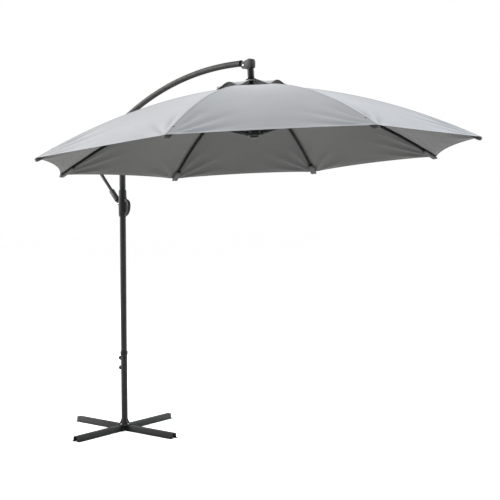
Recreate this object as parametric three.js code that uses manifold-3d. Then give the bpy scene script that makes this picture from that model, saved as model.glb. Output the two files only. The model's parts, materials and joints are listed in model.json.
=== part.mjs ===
// Cantilever parasol: a cross base, a mast with a sliding winch housing, a bowed arm
// and an eight-rib canopy that hangs from the arm's end.
// Millimetres, +Z up. The origin is on the ground under the mast's axis, and the arm
// reaches along +X. Angles are in degrees.

import * as THREE from "three";
import { mergeVertices } from "three/addons/utils/BufferGeometryUtils.js";
import Module from "manifold-3d";

const wasm = await Module();
wasm.setup();

// ---------- driving dimensions ----------

const GAP = 0.4; // left between pieces that touch on the real object
const PAST = 1; // how far a cutter runs past the face it opens

const BEAM = { length: 1066, height: 40, top: 38, foot: 44, width: 88, sheet: 2, turn: 10.1 };
const PLATE = { size: 104, thick: 4, bolt: 39 };
const BOLT = { shank: 4.5, head: 7.5, headHeight: 6, below: 9 };
const POST = { radius: 26, bore: 24.5, top: 622 };
const GUSSET = { height: 38, reach: 14, thick: 4 };
const COLLAR = { radius: 30, bottom: 600, top: 632 };
const KNOB = { radius: 18, heights: { upper: 570, lower: 492 }, stud: 4 };

const MAST = { radius: 24, wall: 1.5, bottom: 80, top: 2375 };
const HEAD = { x: 0, z: 2405, ear: 14, gapHalf: 12.5, halfWidth: 18.5 };
const PIN = 4; // radius of every cross pin

const ARM = {
  centreX: 1302, centreZ: -139, bend: 2900, radius: 21, wall: 1.5, tail: -35.9, end: 1.98,
};
const TAIL = { x: -443, z: 2183, cheek: 16, gapHalf: 14.5, halfWidth: 20.5 };
const SADDLE = { angle: -26.68, length: 96, radius: 26, room: 1.5, lugHalf: 12, lug: 13 };

const SLIDER = { bottom: 1702, top: 1914, bore: 24.5 };
const STRUT_FOOT = { x: -40, z: 1806, ear: 12, gapHalf: 9.5, halfWidth: 15.5 };
const STRUT = {
  radius: 13, wall: 1.5, sleeve: 22, sleeveEnd: 150, eye: 16, eyeBore: 9.5, eyeHalf: 13.5,
};
const WINCH = { z: 1768, radius: 28, wall: 5, inner: 28, outer: 52, cover: 4, axle: 5 };
const CRANK = { reach: 85, thick: 6, start: 55, knobRadius: 11, knobLength: 46 };
const GRIP = { half: 11 };
const TRIGGER = { half: 7, z: 1772 };

const CANOPY = { x: 1550, z: 2116, lean: 4.37, radius: 1500, rise: 478, bow: 83, sheet: 1.2 };
const PANEL = { scallop: 48, sag: 14, vent: 225, across: 4, along: 8 };
const CAP = { inner: 28, outer: 265, crest: 524, lift: 32, scallop: 12, sheet: 1.2, along: 4 };
const RIBS = {
  count: 8, first: -106.5, width: 13, height: 17, wall: 1.2, below: 3.2, start: 66, end: 1490,
};
const HUB = { radius: 58, pivot: 50, height: 464, half: 11, slot: 6.6, slotStart: 38 };
const STRETCHER = {
  rib: 640, drop: 17.5, width: 10, height: 14, wall: 1.2, blade: 5, pivot: 52, runner: 160,
};
const RUNNER = { radius: 60, half: 19, slotStart: 40 };
const STEM = { radius: 15, wall: 1.5, bottom: 205, top: 640 };
const ELBOW = { x: -50, z: 631.6, cheek: 25, slotHalf: 10.2, halfWidth: 19, bottom: 603 };
const SLEEVE = { radius: 23, bottom: 534 }; // round the stem, from the crown ring to the elbow
const CROWN = { radius: 38, seat: 525.5, top: 533 };
const TONGUE = { half: 9.5, nose: 22, slotHalf: 3.4 };
const PULLEY = { radius: 15, half: 2.8 };

// ---------- materials ----------

function finish(color, roughness, metalness) {
  return new THREE.MeshStandardMaterial({ color, roughness, metalness });
}

const PAINT = finish(0x34383b, 0.5, 0.4);
const PLASTIC = finish(0x222426, 0.55, 0);
const ZINC = finish(0xb4b6b8, 0.3, 1);
const FABRIC = finish(0xa6abb0, 0.9, 0);

// ---------- solids ----------

const radians = THREE.MathUtils.degToRad;

// A geometry with only shared positions, and without the slivers that a lathe leaves on its axis.
function welded(geometry) {
  const bare = geometry.clone();
  bare.deleteAttribute("normal");
  bare.deleteAttribute("uv");
  const merged = mergeVertices(bare, 1e-3);
  const source = merged.index.array;
  const kept = [];
  for (let i = 0; i < source.length; i += 3) {
    const [a, b, c] = [source[i], source[i + 1], source[i + 2]];
    if (a !== b && b !== c && c !== a) kept.push(a, b, c);
  }
  merged.setIndex(kept);
  return merged;
}

function toSolid(geometry) {
  const clean = welded(geometry);
  const vertProperties = new Float32Array(clean.attributes.position.array);
  const triVerts = new Uint32Array(clean.index.array);
  return new wasm.Manifold(new wasm.Mesh({ numProp: 3, vertProperties, triVerts }));
}

function toGeometry(manifold) {
  const mesh = manifold.getMesh();
  const geometry = new THREE.BufferGeometry();
  geometry.setAttribute("position", new THREE.BufferAttribute(new Float32Array(mesh.vertProperties), 3));
  geometry.setIndex(new THREE.BufferAttribute(new Uint32Array(mesh.triVerts), 1));
  return geometry;
}

function join(...pieces) {
  return toGeometry(pieces.map(toSolid).reduce((whole, piece) => whole.add(piece)));
}

function cut(whole, ...tools) {
  return toGeometry(tools.map(toSolid).reduce((rest, tool) => rest.subtract(tool), toSolid(whole)));
}

function keep(whole, region) {
  return toGeometry(toSolid(whole).intersect(toSolid(region)));
}

function box(x0, x1, y0, y1, z0, z1) {
  const geometry = new THREE.BoxGeometry(x1 - x0, y1 - y0, z1 - z0);
  return geometry.translate((x0 + x1) / 2, (y0 + y1) / 2, (z0 + z1) / 2);
}

// A cylinder along +Z.
function rod(radius, z0, z1, sides = 16) {
  const geometry = new THREE.CylinderGeometry(radius, radius, z1 - z0, sides);
  return geometry.rotateX(Math.PI / 2).translate(0, 0, (z0 + z1) / 2);
}

// A cylinder along +Y through (x, z).
function crossRod(radius, y0, y1, x, z, sides = 16) {
  const geometry = new THREE.CylinderGeometry(radius, radius, y1 - y0, sides);
  return geometry.translate(x, (y0 + y1) / 2, z);
}

// A turned piece about +Z from [radius, height] points.
function turned(points, sides = 16) {
  const profile = points.map(([radius, height]) => new THREE.Vector2(radius, height));
  return new THREE.LatheGeometry(profile, sides).rotateX(Math.PI / 2);
}

function ring(inner, outer, z0, z1, sides = 16) {
  return turned([[inner, z0], [outer, z0], [outer, z1], [inner, z1], [inner, z0]], sides);
}

// A plate drawn in X and Z and as thick as y0 to y1.
function sidePlate(shape, y0, y1, curveSegments = 5) {
  const settings = { depth: y1 - y0, bevelEnabled: false, curveSegments };
  return new THREE.ExtrudeGeometry(shape, settings).rotateX(Math.PI / 2).translate(0, y1, 0);
}

function outline(points) {
  return new THREE.Shape(points.map(([x, y]) => new THREE.Vector2(x, y)));
}

// A point and a direction on the arm's centre line, by its angle from the top of the bow.
function onArm(angle) {
  const turn = radians(angle);
  return {
    x: ARM.centreX + ARM.bend * Math.sin(turn),
    z: ARM.centreZ + ARM.bend * Math.cos(turn),
    slope: -turn,
  };
}

// Turns a piece that was drawn along +X into the arm's direction at an angle.
function laidOnArm(geometry, angle) {
  const spot = onArm(angle);
  return geometry.rotateY(-spot.slope).translate(spot.x, 0, spot.z);
}

// ---------- assembly ----------

const parasol = new THREE.Group();

function add(group, name, geometry, material) {
  const mesh = new THREE.Mesh(geometry, material);
  mesh.name = name;
  group.add(mesh);
  return mesh;
}

function subgroup(parent) {
  const group = new THREE.Group();
  parent.add(group);
  return group;
}

// ---------- cross base ----------

// Half of the folded beam's section, as [offset, height] points.
function beamSection() {
  const { top, foot, width, height, sheet } = BEAM;
  const right = [
    [width / 2, 0], [width / 2, sheet], [foot / 2, sheet], [top / 2, height],
  ];
  const inside = [
    [-foot / 2 + sheet, 0], [-top / 2 + sheet, height - sheet],
    [top / 2 - sheet, height - sheet], [foot / 2 - sheet, 0],
  ];
  const left = right.map(([x, z]) => [-x, z]).reverse();
  return outline([...right, ...left, ...inside]);
}

function beam(turn, ...tools) {
  const settings = { depth: BEAM.length, bevelEnabled: false };
  const plain = new THREE.ExtrudeGeometry(beamSection(), settings).translate(0, 0, -BEAM.length / 2);
  plain.rotateX(Math.PI / 2).rotateZ(Math.PI / 2);
  return cut(plain, ...tools).rotateZ(radians(turn));
}

function boltHoles(z0, z1) {
  return [-PLATE.bolt, PLATE.bolt].map((x) => rod(BOLT.shank + GAP, z0, z1, 12).translate(x, 0, 0));
}

function addBase(group) {
  const lap = BEAM.height / 2;
  const slot = BEAM.foot / 2 + PAST;
  const gap = BEAM.width / 2 + GAP;
  const holes = boltHoles(lap + PAST, BEAM.height + PAST);
  const upperNotch = box(-slot, slot, -slot, slot, lap, BEAM.height + PAST);
  const lowerNotch = box(-gap, gap, -gap, gap, -PAST, lap + GAP);
  add(group, "base_beam_long", beam(BEAM.turn, upperNotch, ...holes), PAINT);
  add(group, "base_beam_cross", beam(BEAM.turn + 90, lowerNotch, ...holes), PAINT);
  add(group, "base_post", basePost(), PAINT);
  addBolts(group);
  add(group, "post_collar", postCollar(), PLASTIC);
}

function basePost() {
  const z0 = BEAM.height + GAP;
  const z1 = z0 + PLATE.thick;
  const half = PLATE.size / 2;
  const tall = GUSSET.height + z1;
  const plate = box(-half, half, -half, half, z0, z1);
  const web = outline([
    [POST.bore + 0.5, z1 - PAST], [POST.radius + GUSSET.reach, z1 - PAST],
    [POST.radius + GUSSET.reach, z1 + 6], [POST.radius + 2, tall], [POST.bore + 0.5, tall],
  ]);
  const gussets = [45, 135, 225, 315].map((turn) =>
    sidePlate(web, -GUSSET.thick / 2, GUSSET.thick / 2).rotateZ(radians(turn)),
  );
  const welds = join(plate, rod(POST.radius, z1 - PAST, POST.top, 24), ...gussets);
  const alongBeams = boltHoles(z0 - PAST, z1 + PAST);
  const acrossBeams = boltHoles(z0 - PAST, z1 + PAST).map((hole) => hole.rotateZ(Math.PI / 2));
  const bored = cut(welds, rod(POST.bore, z1, POST.top + PAST, 24), ...alongBeams, ...acrossBeams);
  const studs = Object.values(KNOB.heights).map((z) => {
    const hole = rod(KNOB.stud + GAP, POST.bore - 4, POST.radius + 4, 12);
    return hole.rotateY(-Math.PI / 2).translate(0, 0, z);
  });
  return cut(bored.rotateZ(radians(BEAM.turn)), ...studs);
}

function addBolts(group) {
  const seat = BEAM.height + GAP + PLATE.thick + GAP;
  const shank = rod(BOLT.shank, BEAM.height - BOLT.below, seat + PAST, 12);
  const head = rod(BOLT.head, seat, seat + BOLT.headHeight, 6);
  for (let i = 0; i < 4; i += 1) {
    const bolt = join(shank, head).translate(PLATE.bolt, 0, 0);
    add(group, `base_bolt_${i + 1}`, bolt.rotateZ(radians(BEAM.turn + 90 * i)), ZINC);
  }
}

function postCollar() {
  const { radius, bottom, top } = COLLAR;
  const seat = POST.top + GAP;
  return turned([
    [POST.radius + GAP, bottom], [radius - 1, bottom], [radius, bottom + 4], [radius, top - 5],
    [radius - 3, top], [MAST.radius + 1, top], [MAST.radius + 1, seat],
    [POST.radius + GAP, seat], [POST.radius + GAP, bottom],
  ], 24);
}

// A ball knob on a short stud, turned about the stud, which points at the mast.
function clampKnob(z) {
  const { radius, stud } = KNOB;
  const seat = POST.radius + GAP;
  const neck = 9;
  const centre = seat + radius + 1;
  const arc = [];
  for (let step = 0; step <= 6; step += 1) {
    const angle = radians(-52 + (142 * step) / 6);
    arc.push([radius * Math.cos(angle), centre + radius * Math.sin(angle)]);
  }
  arc[arc.length - 1][0] = 0;
  const tip = MAST.radius + 0.8;
  const knob = turned([[0, tip], [stud, tip], [stud, seat], [neck, seat], ...arc]);
  return knob.rotateY(-Math.PI / 2).translate(0, 0, z);
}

// ---------- mast ----------

function addMast(group) {
  const tube = ring(MAST.radius - MAST.wall, MAST.radius, MAST.bottom, MAST.top, 24);
  add(group, "mast_tube", tube, PAINT);
  add(group, "mast_head", mastHead(), PLASTIC);
  const pin = crossRod(PIN, -HEAD.halfWidth - 3, HEAD.halfWidth + 3, HEAD.x, HEAD.z, 12);
  add(group, "mast_head_pin", pin, ZINC);
}

function mastHead() {
  const seat = MAST.top + GAP;
  const floor = HEAD.z - 15;
  const plug = turned([
    [0, seat - 40], [MAST.radius - MAST.wall - GAP, seat - 40], [MAST.radius - MAST.wall - GAP, seat],
    [MAST.radius + 1, seat], [MAST.radius + 1, floor - 2], [MAST.radius - 2, floor], [0, floor],
  ], 24);
  const ear = new THREE.Shape();
  ear.moveTo(HEAD.ear, floor - PAST);
  ear.lineTo(HEAD.ear, HEAD.z);
  ear.absarc(HEAD.x, HEAD.z, HEAD.ear, 0, Math.PI, false);
  ear.lineTo(-HEAD.ear, floor - PAST);
  const ears = [
    sidePlate(ear, HEAD.gapHalf, HEAD.halfWidth),
    sidePlate(ear, -HEAD.halfWidth, -HEAD.gapHalf),
  ];
  const bore = crossRod(PIN + GAP, -30, 30, HEAD.x, HEAD.z, 12);
  return cut(join(plug, ...ears), bore);
}

// ---------- slider, winch and grip ----------

function shellBody() {
  const { bottom, top, bore } = SLIDER;
  return turned([
    [bore, bottom], [28, bottom], [31.5, bottom + 10], [33, bottom + 90], [33, 1852],
    [30.5, 1864], [30, top - 8], [28, top], [bore, top], [bore, bottom],
  ], 28);
}

function footEars() {
  const { x, z, ear, gapHalf, halfWidth } = STRUT_FOOT;
  const shape = new THREE.Shape();
  shape.moveTo(-26, z + ear + 8);
  shape.lineTo(x, z + ear);
  shape.absarc(x, z, ear, Math.PI / 2, (3 * Math.PI) / 2, false);
  shape.lineTo(-26, z - ear - 8);
  return [sidePlate(shape, gapHalf, halfWidth), sidePlate(shape, -halfWidth, -gapHalf)];
}

function lockRoom() {
  return rod(PIN + 1 + GAP, 20, 45, 12).rotateY(Math.PI / 2).translate(0, 0, TRIGGER.z);
}

function addSlider(group) {
  const { x, z, ear, gapHalf, halfWidth } = STRUT_FOOT;
  const mastRoom = rod(SLIDER.bore, 1600, 2000, 28);
  const strutRoom = box(x - 40, -MAST.radius + 4, -gapHalf, gapHalf, z - ear - 10, SLIDER.top + PAST);
  const pinRoom = crossRod(PIN + GAP, -30, 30, x, z, 12);
  const drumCase = crossRod(WINCH.radius, 18, WINCH.outer, 0, WINCH.z, 24);
  const drumBore = WINCH.radius - WINCH.wall;
  const drumRoom = crossRod(drumBore, WINCH.inner, WINCH.outer + PAST, 0, WINCH.z, 24);
  const body = join(shellBody(), ...footEars(), drumCase);
  const open = cut(body, mastRoom, strutRoom, pinRoom, lockRoom(), drumRoom);
  add(group, "slider_shell_front", keep(open, box(-90, 90, -60, -GAP / 2, 1600, 2000)), PLASTIC);
  add(group, "slider_shell_back", keep(open, box(-90, 90, GAP / 2, 80, 1600, 2000)), PLASTIC);
  add(group, "slider_grip", sliderGrip(), PLASTIC);
  add(group, "winch_cover", winchCover(), PLASTIC);
  add(group, "strut_foot_pin", crossRod(PIN, -halfWidth - 2, halfWidth + 2, x, z, 12), ZINC);
}

// A finger loop on the side that faces the canopy.
function sliderGrip() {
  const loop = new THREE.Shape();
  loop.moveTo(24, 1845);
  loop.lineTo(52, 1840);
  loop.quadraticCurveTo(92, 1826, 91, 1788);
  loop.quadraticCurveTo(89, 1738, 52, 1712);
  loop.lineTo(24, 1704);
  const gap = new THREE.Path();
  gap.moveTo(36, 1828);
  gap.lineTo(36, 1724);
  gap.quadraticCurveTo(74, 1738, 76, 1786);
  gap.quadraticCurveTo(76, 1814, 36, 1828);
  loop.holes.push(gap);
  const plain = sidePlate(loop, -GRIP.half, GRIP.half, 6);
  return cut(plain, rod(33 + GAP, 1600, 2000, 28), lockRoom());
}

function winchCover() {
  const { z, radius, wall, outer, cover, axle } = WINCH;
  const face = crossRod(radius - wall - GAP, outer - cover, outer, 0, z, 24);
  return cut(face, crossRod(axle + GAP, 0, 80, 0, z, 16));
}

function addTrigger(group) {
  const { half, z } = TRIGGER;
  const shape = outline([
    [41, z - 34], [46, z - 30], [49, z], [46, z + 30], [41, z + 34], [39, z],
  ]);
  add(group, "lock_trigger", sidePlate(shape, -half, half), PLASTIC);
  const pin = rod(PIN, MAST.radius + 0.8, 39 - GAP, 12).rotateY(Math.PI / 2).translate(0, 0, z);
  add(group, "lock_pin", pin, ZINC);
}

function addCrank(group) {
  const { start, thick, reach } = CRANK;
  const drum = new THREE.LatheGeometry([
    [0, 30], [21, 30], [21, 32], [16, 32], [16, 44], [21, 44], [21, 46], [WINCH.axle, 46],
    [WINCH.axle, start - GAP], [0, start - GAP],
  ].map(([radius, y]) => new THREE.Vector2(radius, y)), 20);
  add(group, "winch_drum", drum.translate(0, 0, WINCH.z), ZINC);
  const arm = new THREE.Shape();
  arm.absarc(0, WINCH.z, 10, -Math.PI / 2, Math.PI / 2, false);
  arm.absarc(-reach, WINCH.z, 8, Math.PI / 2, (3 * Math.PI) / 2, false);
  const spindle = crossRod(PIN, start, start + thick + CRANK.knobLength, -reach, WINCH.z, 12);
  add(group, "crank_arm", join(sidePlate(arm, start, start + thick), spindle), PAINT);
}

function crankKnob() {
  const { knobRadius, knobLength, start, thick, reach } = CRANK;
  const foot = start + thick + GAP;
  const bore = PIN + GAP;
  const knob = new THREE.LatheGeometry([
    [bore, 0], [knobRadius - 2, 0], [knobRadius, 6], [knobRadius - 2, knobLength * 0.5],
    [knobRadius, knobLength - 8], [knobRadius - 3, knobLength - 1], [bore, knobLength - 1], [bore, 0],
  ].map(([radius, y]) => new THREE.Vector2(radius, y)), 16);
  return knob.translate(-reach, foot, WINCH.z);
}

// ---------- strut ----------

// Pieces along +X from the foot pivot, turned to point at the arm's tail.
function addStrut(group) {
  const frame = subgroup(group);
  const run = Math.hypot(TAIL.x - STRUT_FOOT.x, TAIL.z - STRUT_FOOT.z);
  frame.position.set(STRUT_FOOT.x, 0, STRUT_FOOT.z);
  frame.rotation.y = -Math.atan2(TAIL.z - STRUT_FOOT.z, TAIL.x - STRUT_FOOT.x);
  const tube = ring(STRUT.radius - STRUT.wall, STRUT.radius, 40, run - 24, 18).rotateY(Math.PI / 2);
  add(frame, "strut_tube", tube, PAINT);
  add(frame, "strut_sleeve", strutSleeve(), PLASTIC);
  add(frame, "strut_head", strutHead(run), PLASTIC);
}

function strutSleeve() {
  const { sleeve, sleeveEnd, radius } = STRUT;
  const eyeHalf = STRUT_FOOT.gapHalf - 0.6;
  const barrel = turned([
    [0, 22], [10, 22], [sleeve, 40], [sleeve, sleeveEnd - 4], [sleeve - 2, sleeveEnd],
    [radius + GAP, sleeveEnd], [radius + GAP, 40 - GAP], [0, 40 - GAP],
  ], 20).rotateY(Math.PI / 2);
  const eye = new THREE.Shape();
  eye.absarc(0, 0, STRUT_FOOT.ear - 1, Math.PI / 2, (3 * Math.PI) / 2, false);
  eye.lineTo(34, 1 - STRUT_FOOT.ear);
  eye.lineTo(34, STRUT_FOOT.ear - 1);
  const bore = crossRod(PIN + GAP, -30, 30, 0, 0, 12);
  return cut(join(barrel, sidePlate(eye, -eyeHalf, eyeHalf)), bore);
}

function strutHead(run) {
  const { radius, wall, eye, eyeHalf, eyeBore } = STRUT;
  const inside = radius - wall - GAP;
  const plug = rod(inside, run - 50, run - 15, 16).rotateY(Math.PI / 2);
  const shoulder = rod(radius + 1, run - 24 + GAP, run - 12, 16).rotateY(Math.PI / 2);
  const head = crossRod(eye, -eyeHalf, eyeHalf, run, 0, 20);
  return cut(join(plug, shoulder, head), crossRod(eyeBore, -30, 30, run, 0, 16));
}

// ---------- arm ----------

// The bowed centre line as a curve for an extrusion.
class ArmCurve extends THREE.Curve {
  getPoint(t, target = new THREE.Vector3()) {
    const spot = onArm(THREE.MathUtils.lerp(ARM.tail, ARM.end, t));
    return target.set(spot.x, 0, spot.z);
  }
}

function armTube() {
  const section = new THREE.Shape();
  section.absarc(0, 0, ARM.radius, 0, 2 * Math.PI, false);
  const hole = new THREE.Path();
  hole.absarc(0, 0, ARM.radius - ARM.wall, 0, 2 * Math.PI, true);
  section.holes.push(hole);
  const settings = { steps: 15, curveSegments: 8, bevelEnabled: false, extrudePath: new ArmCurve() };
  return new THREE.ExtrudeGeometry(section, settings);
}

function armSaddle() {
  const { angle, length, radius, lugHalf, lug } = SADDLE;
  const bore = ARM.radius + SADDLE.room;
  const barrel = ring(bore, radius, -length / 2, length / 2, 20);
  const sleeve = laidOnArm(barrel.rotateY(Math.PI / 2), angle);
  const spot = onArm(angle);
  const lean = Math.atan2(spot.z - HEAD.z, spot.x - HEAD.x);
  const reach = Math.hypot(spot.x - HEAD.x, spot.z - HEAD.z) - ARM.radius - 2;
  const shape = new THREE.Shape();
  shape.absarc(0, 0, lug, Math.PI / 2, (3 * Math.PI) / 2, false);
  shape.lineTo(reach, -lug - 8);
  shape.lineTo(reach, lug + 8);
  const web = sidePlate(shape, -lugHalf, lugHalf).rotateY(-lean).translate(HEAD.x, 0, HEAD.z);
  const pinRoom = crossRod(PIN + GAP, -30, 30, HEAD.x, HEAD.z, 12);
  const armRoom = laidOnArm(rod(bore, -60, 60, 20).rotateY(Math.PI / 2), angle);
  return cut(join(sleeve, web), pinRoom, armRoom);
}

function tailFork() {
  const { x, z, cheek, gapHalf, halfWidth } = TAIL;
  const end = onArm(ARM.tail);
  const inside = ARM.radius - ARM.wall - 3 * GAP;
  const plug = turned([
    [0, -16], [ARM.radius + 1.5, -16], [ARM.radius + 1.5, -GAP], [inside, -GAP],
    [inside, 32], [0, 32],
  ], 20).rotateY(Math.PI / 2);
  laidOnArm(plug, ARM.tail);
  const reach = Math.hypot(end.x - x, end.z - z);
  const shape = new THREE.Shape();
  shape.absarc(0, 0, cheek, Math.PI / 2, (3 * Math.PI) / 2, false);
  shape.lineTo(reach - 6, -cheek);
  shape.lineTo(reach - 6, cheek);
  const lean = Math.atan2(end.z - z, end.x - x);
  const cheeks = [[gapHalf, halfWidth], [-halfWidth, -gapHalf]].map(([y0, y1]) =>
    sidePlate(shape, y0, y1).rotateY(-lean).translate(x, 0, z),
  );
  const room = crossRod(STRUT.eye + 3, -gapHalf, gapHalf, x, z, 20);
  return cut(join(plug, ...cheeks), crossRod(PIN + GAP, -30, 30, x, z, 12), room);
}

// Where the elbow's pin sits in the parasol's frame.
function elbowPin() {
  const lean = radians(CANOPY.lean);
  return {
    x: CANOPY.x + ELBOW.x * Math.cos(lean) - ELBOW.z * Math.sin(lean),
    z: CANOPY.z + ELBOW.x * Math.sin(lean) + ELBOW.z * Math.cos(lean),
  };
}

function armTongue() {
  const pin = elbowPin();
  const end = onArm(ARM.end);
  const inside = ARM.radius - ARM.wall - 3 * GAP;
  const plug = laidOnArm(turned([
    [0, -34], [inside, -34], [inside, GAP], [ARM.radius + 2, GAP], [ARM.radius + 2, 9],
    [ARM.radius, 11], [0, 11],
  ], 20).rotateY(Math.PI / 2), ARM.end);
  const shape = new THREE.Shape();
  shape.moveTo(end.x + 6, end.z + 18);
  shape.lineTo(end.x + 6, end.z - 19);
  shape.lineTo(pin.x, pin.z - TONGUE.nose);
  shape.absarc(pin.x, pin.z, TONGUE.nose, -Math.PI / 2, Math.PI / 2, false);
  const blade = sidePlate(shape, -TONGUE.half, TONGUE.half);
  const bore = crossRod(PIN + GAP, -30, 30, pin.x, pin.z, 12);
  const pulleyRoom = crossRod(PULLEY.radius + 2, -TONGUE.slotHalf, TONGUE.slotHalf, pin.x, pin.z, 20);
  const mouth = box(pin.x, pin.x + 40, -TONGUE.slotHalf, TONGUE.slotHalf, pin.z - 17, pin.z + 17);
  return cut(join(plug, blade), bore, pulleyRoom, mouth);
}

function addArm(group) {
  const pin = elbowPin();
  add(group, "arm_tube", armTube(), PAINT);
  add(group, "arm_saddle", armSaddle(), PLASTIC);
  add(group, "arm_tail_fork", tailFork(), PLASTIC);
  const tailEnd = TAIL.halfWidth + 2;
  add(group, "arm_tail_pin", crossRod(PIN, -tailEnd, tailEnd, TAIL.x, TAIL.z, 12), ZINC);
  add(group, "arm_end_tongue", armTongue(), PLASTIC);
  const pinEnd = ELBOW.halfWidth + 3;
  add(group, "elbow_pin", crossRod(PIN, -pinEnd, pinEnd, pin.x, pin.z, 12), ZINC);
}

function elbowPulley() {
  const pin = elbowPin();
  const { radius, half } = PULLEY;
  const bore = PIN + GAP;
  const wheel = new THREE.LatheGeometry([
    [bore, -half], [radius, -half], [radius - 2.5, 0], [radius, half], [bore, half], [bore, -half],
  ].map(([r, y]) => new THREE.Vector2(r, y)), 20);
  return wheel.translate(pin.x, 0, pin.z);
}

// ---------- hanger: elbow, stem and rib hub ----------

function hangerElbow() {
  const { x, z, cheek, slotHalf, halfWidth, bottom } = ELBOW;
  const shape = new THREE.Shape();
  shape.moveTo(-22, bottom);
  shape.lineTo(23, bottom);
  shape.lineTo(27, bottom + 9);
  shape.lineTo(31, 640);
  shape.quadraticCurveTo(31, 664, 8, 667);
  shape.lineTo(x, z + cheek);
  shape.absarc(x, z, cheek, Math.PI / 2, (3 * Math.PI) / 2, false);
  const body = sidePlate(shape, -halfWidth, halfWidth);
  const tongueRoom = box(x - 40, x + TONGUE.nose + 3, -slotHalf, slotHalf, bottom - 10, 700);
  const bore = crossRod(PIN + GAP, -30, 30, x, z, 12);
  const socket = rod(STEM.radius + GAP, bottom - PAST, STEM.top + PAST, 18);
  return cut(body, tongueRoom, bore, socket);
}

// The wheel-shaped hub that a ring of blades turns in.
function slottedHub(profile, start, end, z0, z1) {
  const slots = [];
  for (let i = 0; i < RIBS.count; i += 1) {
    const slot = box(start, end, -HUB.slot / 2, HUB.slot / 2, z0, z1);
    slots.push(slot.rotateZ(radians(RIBS.first + (360 / RIBS.count) * i)));
  }
  return cut(turned(profile, 24), ...slots);
}

function ribHub() {
  const { radius, height, half, slotStart } = HUB;
  const bore = STEM.radius + GAP;
  const profile = [
    [bore, height - half - 8], [24, height - half - 8], [28, height - half], [radius, height - half],
    [radius, height + half - 3], [radius - 4, height + half], [bore, height + half],
    [bore, height - half - 8],
  ];
  return slottedHub(profile, slotStart, radius + 10, height - half - PAST, height + half + PAST);
}

function runnerHub() {
  const { radius, half, slotStart } = RUNNER;
  const low = STRETCHER.runner - half;
  const high = STRETCHER.runner + half - 1;
  const profile = [
    [0, low], [radius - 6, low], [radius, low + 8], [radius, high - 6], [radius - 4, high],
    [24, high], [24, high + 22], [STEM.radius + 2, high + 22], [STEM.radius + 2, high - 10],
    [0, high - 10],
  ];
  return slottedHub(profile, slotStart, radius + 10, low - PAST, high + PAST);
}

function runnerCap() {
  const low = STRETCHER.runner - RUNNER.half - GAP;
  return turned([[0, low - 14], [20, low - 13], [31, low - 8], [34, low], [0, low]], 24);
}

function addHanger(group) {
  const inside = STEM.radius + GAP;
  const seat = ELBOW.bottom - GAP;
  add(group, "hanger_elbow", hangerElbow(), PLASTIC);
  const collar = turned([
    [inside, SLEEVE.bottom], [SLEEVE.radius - 2, SLEEVE.bottom],
    [SLEEVE.radius, SLEEVE.bottom + 4], [SLEEVE.radius, seat - 4], [SLEEVE.radius - 2, seat],
    [inside, seat], [inside, SLEEVE.bottom],
  ], 20);
  add(group, "hanger_collar", collar, PLASTIC);
  const stem = ring(STEM.radius - STEM.wall, STEM.radius, STEM.bottom, STEM.top, 18);
  add(group, "hanger_stem", stem, PAINT);
  add(group, "rib_hub", ribHub(), PLASTIC);
  const crown = turned([
    [inside, CROWN.seat], [CROWN.radius - 2, CROWN.seat], [CROWN.radius, CROWN.seat + 2],
    [CROWN.radius - 6, CROWN.top - 2], [CROWN.radius - 14, CROWN.top], [inside, CROWN.top],
    [inside, CROWN.seat],
  ], 24);
  add(group, "crown_ring", crown, PLASTIC);
  add(group, "canopy_cover", canopyCover(), FABRIC);
  add(group, "vent_cap", ventCap(), FABRIC);
}

// ---------- fabric ----------

// Height of the cover over a rib, from the plane of the rib tips.
function coverHeight(r) {
  const t = (r - HUB.pivot) / (CANOPY.radius - HUB.pivot);
  return CANOPY.rise * (1 - t) + 4 * CANOPY.bow * t * (1 - t);
}

function capHeight(r) {
  const t = (r - CAP.inner) / (CAP.outer - CAP.inner);
  const edge = coverHeight(CAP.outer) + CAP.sheet + 2.5;
  return THREE.MathUtils.lerp(CAP.crest, edge, t);
}

// A ring-shaped sheet between the ribs. place(r share, across share) gives the radius and
// the height of its upper side, and the sheet is closed at its inner and outer edges.
function ribbedSheet(along, across, sheet, place) {
  const columns = RIBS.count * across;
  const corner = Math.PI / RIBS.count;
  const points = [];
  for (const drop of [0, sheet]) {
    for (let j = 0; j <= along; j += 1) {
      for (let i = 0; i < columns; i += 1) {
        const share = (i % across) / across;
        const { radius, height } = place(j / along, share);
        const middle = radians(RIBS.first) + corner * (2 * Math.floor(i / across) + 1);
        const side = (2 * share - 1) * Math.sin(corner) * radius;
        const out = Math.cos(corner) * radius;
        points.push(out * Math.cos(middle) - side * Math.sin(middle));
        points.push(out * Math.sin(middle) + side * Math.cos(middle), height - drop);
      }
    }
  }
  const layer = (along + 1) * columns;
  const faces = [];
  const quad = (a, b, c, d) => faces.push(a, b, c, a, c, d);
  for (let i = 0; i < columns; i += 1) {
    const next = (i + 1) % columns;
    for (let j = 0; j < along; j += 1) {
      const [a, b] = [j * columns + i, j * columns + next];
      const [c, d] = [b + columns, a + columns];
      quad(a, d, c, b);
      quad(layer + a, layer + b, layer + c, layer + d);
    }
    const last = along * columns;
    quad(i, next, layer + next, layer + i);
    quad(last + i, layer + last + i, layer + last + next, last + next);
  }
  const geometry = new THREE.BufferGeometry();
  geometry.setAttribute("position", new THREE.Float32BufferAttribute(points, 3));
  geometry.setIndex(faces);
  return geometry;
}

function bulge(share) {
  return 4 * share * (1 - share);
}

function canopyCover() {
  return ribbedSheet(PANEL.along, PANEL.across, CANOPY.sheet, (t, share) => {
    const hem = CANOPY.radius - PANEL.scallop * bulge(share);
    const radius = THREE.MathUtils.lerp(PANEL.vent, hem, t);
    const sag = PANEL.sag * bulge(share) * Math.sin(Math.PI * t);
    return { radius, height: coverHeight(radius) - sag };
  });
}

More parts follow.
